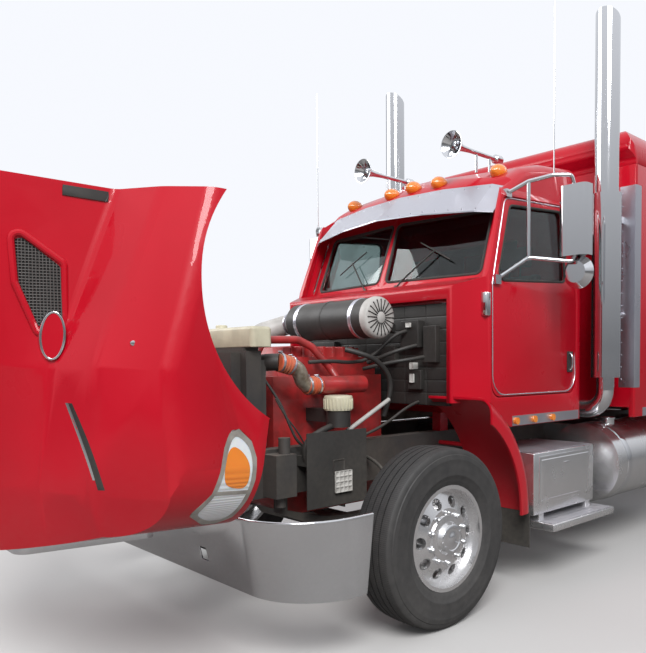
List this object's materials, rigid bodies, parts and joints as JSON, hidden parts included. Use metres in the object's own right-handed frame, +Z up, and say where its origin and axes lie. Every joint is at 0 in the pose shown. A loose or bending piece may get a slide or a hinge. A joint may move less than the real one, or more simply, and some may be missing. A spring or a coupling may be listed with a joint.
{
  "type": "semi truck tractor unit with sleeper",
  "caption": "Red long-nosed highway tractor unit with a sleeper, its one-piece hood tilted open over the engine, which rolls on wheels and pulls a semi-trailer.",
  "frame": {"origin": "on the ground under the middle of the bounding box", "axes": "+Z up, +Y towards the rear along the vehicle, +X towards the driver's side"},
  "size_m": [2.816, 9.801, 4.0933],
  "materials": {
    "red_paint": "gloss clear coat",
    "chassis_paint": "satin, dusty",
    "chrome_trim": "polished",
    "stainless": "bright",
    "engine_paint": "gloss, dusty",
    "pipes": "dull",
    "black_plastic": "moulded",
    "tank_plastic": "cloudy",
    "lamps": "clear lens",
    "glass": "tinted",
    "alloy": "polished",
    "tyre_rubber": "dusty",
    "cloth": "woven",
    "cast_plate": "greased"
  },
  "bodies": {
    "chassis": {"air_cleaner": "black_plastic", "air_horns": "chrome_trim", "bumper": "chrome_trim", "bunk": "cloth", "cab_body": "red_paint", "cab_fenders": "red_paint", "cab_roof": "red_paint", "charge_air_pipe": "pipes", "cooling_fan": "black_plastic", "dashboard": "black_plastic", "drive_axles": "chassis_paint", "engine_block": "engine_paint", "engine_pipes": "engine_paint", "exhaust_stacks": "chrome_trim", "fifth_wheel_base": "chassis_paint", "fluid_filters": "black_plastic", "frame": "chassis_paint", "front_axle": "chassis_paint", "fuel_tanks": "alloy", "intake_duct": "pipes", "marker_lamps": "lamps", "mud_flaps": "black_plastic", "radiator": "chassis_paint", "seats": "cloth", "side_strips": "stainless", "sleeper_body": "red_paint", "sleeper_boot": "black_plastic", "sleeper_roof": "red_paint", "step_boxes": "alloy", "surge_tank": "tank_plastic", "suspension": "chassis_paint", "transmission": "chassis_paint", "turbo_exhaust": "pipes", "visor": "stainless", "windshield": "glass"},
    "hood": {"hood_shell": "red_paint", "hood_grilles": "chrome_trim", "headlights": "lamps"},
    "tie_rod": {"tie_rod": "chassis_paint"},
    "fifth_wheel": {"fifth_wheel_plate": "cast_plate"},
    "door_left": {"door_left": "red_paint", "door_glass_left": "glass", "mirror_left": "chrome_trim"},
    "knuckle_left": {"knuckle_left": "chassis_paint"},
    "wheel_front_left": {"tyre_front_left": "tyre_rubber", "wheel_front_left": "alloy"},
    "wheels_drive_1_left": {"tyres_drive_1_left": "tyre_rubber", "wheels_drive_1_left": "alloy"},
    "wheels_drive_2_left": {"tyres_drive_2_left": "tyre_rubber", "wheels_drive_2_left": "alloy"},
    "door_right": {"door_right": "red_paint", "door_glass_right": "glass", "mirror_right": "chrome_trim"},
    "knuckle_right": {"knuckle_right": "chassis_paint"},
    "wheel_front_right": {"tyre_front_right": "tyre_rubber", "wheel_front_right": "alloy"},
    "wheels_drive_1_right": {"tyres_drive_1_right": "tyre_rubber", "wheels_drive_1_right": "alloy"},
    "wheels_drive_2_right": {"tyres_drive_2_right": "tyre_rubber", "wheels_drive_2_right": "alloy"}
  },
  "joints": [
    {"name": "hood_tilt", "type": "hinge", "parent": "chassis", "child": "hood", "pos_m": [0, -3.64, 0.7], "axis": [1, 0, 0], "range_deg": [-87, 0]},
    {"name": "door_left_hinge", "type": "hinge", "parent": "chassis", "child": "door_left", "pos_m": [0.99, -1.9, 2], "axis": [0, 0, -1], "range_deg": [0, 70]},
    {"name": "door_right_hinge", "type": "hinge", "parent": "chassis", "child": "door_right", "pos_m": [-0.99, -1.9, 2], "axis": [0, 0, 1], "range_deg": [0, 70]},
    {"name": "steer_left", "type": "hinge", "parent": "chassis", "child": "knuckle_left", "pos_m": [0.89, -2.55, 0.512], "axis": [0, 0, 1], "range_deg": [-38, 38]},
    {"name": "steer_right", "type": "hinge", "parent": "chassis", "child": "knuckle_right", "pos_m": [-0.89, -2.55, 0.512], "axis": [0, 0, 1], "range_deg": [-38, 38]},
    {"name": "tie_rod_end", "type": "hinge", "parent": "knuckle_left", "child": "tie_rod", "pos_m": [0.89, -2.38, 0.456], "axis": [0, 0, 1], "range_deg": [-38, 38]},
    {"name": "front_wheel_left_spin", "type": "hinge", "parent": "knuckle_left", "child": "wheel_front_left", "pos_m": [1.054, -2.55, 0.512], "axis": [1, 0, 0], "continuous": true},
    {"name": "front_wheel_right_spin", "type": "hinge", "parent": "knuckle_right", "child": "wheel_front_right", "pos_m": [-1.054, -2.55, 0.512], "axis": [1, 0, 0], "continuous": true},
    {"name": "drive_wheels_1_left_spin", "type": "hinge", "parent": "chassis", "child": "wheels_drive_1_left", "pos_m": [0.9085, 2.89, 0.512], "axis": [1, 0, 0], "continuous": true},
    {"name": "drive_wheels_1_right_spin", "type": "hinge", "parent": "chassis", "child": "wheels_drive_1_right", "pos_m": [-0.9085, 2.89, 0.512], "axis": [1, 0, 0], "continuous": true},
    {"name": "drive_wheels_2_left_spin", "type": "hinge", "parent": "chassis", "child": "wheels_drive_2_left", "pos_m": [0.9085, 4.21, 0.512], "axis": [1, 0, 0], "continuous": true},
    {"name": "drive_wheels_2_right_spin", "type": "hinge", "parent": "chassis", "child": "wheels_drive_2_right", "pos_m": [-0.9085, 4.21, 0.512], "axis": [1, 0, 0], "continuous": true},
    {"name": "fifth_wheel_rock", "type": "hinge", "parent": "chassis", "child": "fifth_wheel", "pos_m": [0, 3.45, 1.11], "axis": [1, 0, 0], "range_deg": [-11, 11]}
  ],
  "couplings": [
    {"joint": "steer_right", "follows": "steer_left", "ratio": 1},
    {"joint": "tie_rod_end", "follows": "steer_left", "ratio": -1}
  ]
}
